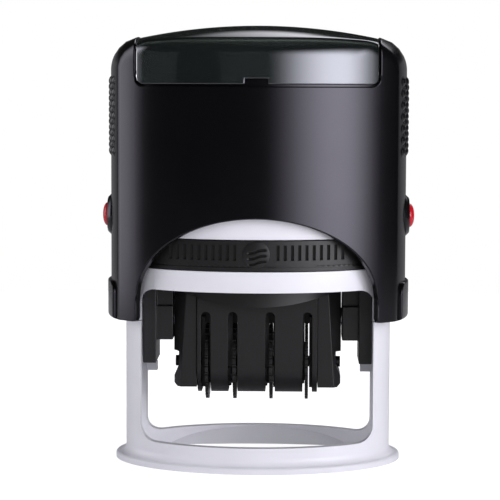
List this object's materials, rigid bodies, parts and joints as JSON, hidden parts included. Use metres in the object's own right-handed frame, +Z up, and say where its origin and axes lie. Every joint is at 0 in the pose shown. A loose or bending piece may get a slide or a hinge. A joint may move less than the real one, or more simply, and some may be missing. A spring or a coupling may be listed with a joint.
{
  "type": "self-inking date stamp",
  "caption": "Self-inking oval date stamp: sprung handle over a window frame, with a die that flips from its ink pad to the paper and date wheels under it.",
  "frame": {"origin": "centre of the oval foot's underside, where the stamp stands on the paper", "axes": "+Z up, the way the handle rises; -Y towards the person, the side that the ink pad pulls out of; +X to the person's right along the long side of the oval"},
  "size_m": [0.0864, 0.06, 0.1198],
  "materials": {
    "shell_black": "glossy moulded black plastic",
    "lid_clear": "dark tinted clear plastic",
    "grip_black": "satin black plastic",
    "bezel_black": "glossy black plastic",
    "frame_white": "satin white moulded plastic",
    "tray_black": "satin black plastic",
    "ink_felt": "felt soaked with black ink",
    "mechanism_black": "satin black engineering plastic",
    "wheel_black": "satin black plastic",
    "button_red": "glossy red plastic",
    "die_rubber": "dull rubber, stained by ink",
    "band_rubber": "dull black rubber",
    "steel": "drawn steel wire and rod"
  },
  "bodies": {
    "base": {"base_frame": "frame_white", "main_spring": "steel"},
    "ink_pad": {"ink_pad_tray": "tray_black", "ink_felt": "ink_felt"},
    "handle": {"outer_shell": "shell_black", "side_grip_left": "grip_black", "side_grip_right": "grip_black", "yoke": "mechanism_black", "button_bezel_left": "bezel_black", "button_bezel_right": "bezel_black"},
    "lid": {"window_lid": "lid_clear"},
    "button_left": {"button_left": "button_red"},
    "button_right": {"button_right": "button_red"},
    "carrier": {"die_holder": "mechanism_black", "text_plate": "die_rubber", "date_anvil": "mechanism_black", "band_cover": "mechanism_black", "cheek_left": "mechanism_black", "cheek_right": "mechanism_black", "pivot_pin_left": "steel", "pivot_pin_right": "steel", "wheel_axle": "steel", "date_band_day_tens": "band_rubber", "date_band_day_units": "band_rubber", "date_band_month": "band_rubber", "date_band_year": "band_rubber"},
    "wheel_day_tens": {"wheel_day_tens": "wheel_black"},
    "wheel_day_units": {"wheel_day_units": "wheel_black"},
    "wheel_month": {"wheel_month": "wheel_black"},
    "wheel_year": {"wheel_year": "wheel_black"}
  },
  "joints": [
    {"name": "press", "type": "slide", "parent": "base", "child": "handle", "axis": [0, 0, -1], "range_m": [0, 0.0264], "stiffness_N_per_m": 300, "springref_m": -0.02, "deforming": ["main_spring"]},
    {"name": "flip", "type": "hinge", "parent": "handle", "child": "carrier", "pos_m": [0, 0, 0.0394], "axis": [1, 0, 0], "range_deg": [0, 180]},
    {"name": "pad_slide", "type": "slide", "parent": "base", "child": "ink_pad", "axis": [0, -1, 0], "range_m": [0, 0.064]},
    {"name": "lid_lift", "type": "slide", "parent": "handle", "child": "lid", "axis": [0, 0, 1], "range_m": [0, 0.03]},
    {"name": "button_left_push", "type": "slide", "parent": "handle", "child": "button_left", "axis": [1, 0, 0], "range_m": [0, 0.001], "stiffness_N_per_m": 500, "springref_m": -0.001},
    {"name": "button_right_push", "type": "slide", "parent": "handle", "child": "button_right", "axis": [-1, 0, 0], "range_m": [0, 0.001], "stiffness_N_per_m": 500, "springref_m": -0.001},
    {"name": "wheel_day_tens_turn", "type": "hinge", "parent": "carrier", "child": "wheel_day_tens", "pos_m": [0, 0, 0.0268], "axis": [1, 0, 0], "continuous": true},
    {"name": "wheel_day_units_turn", "type": "hinge", "parent": "carrier", "child": "wheel_day_units", "pos_m": [0, 0, 0.0268], "axis": [1, 0, 0], "continuous": true},
    {"name": "wheel_month_turn", "type": "hinge", "parent": "carrier", "child": "wheel_month", "pos_m": [0, 0, 0.0268], "axis": [1, 0, 0], "continuous": true},
    {"name": "wheel_year_turn", "type": "hinge", "parent": "carrier", "child": "wheel_year", "pos_m": [0, 0, 0.0268], "axis": [1, 0, 0], "continuous": true}
  ],
  "couplings": [
    {"joint": "flip", "follows": "press", "rad_per_m": 119}
  ]
}
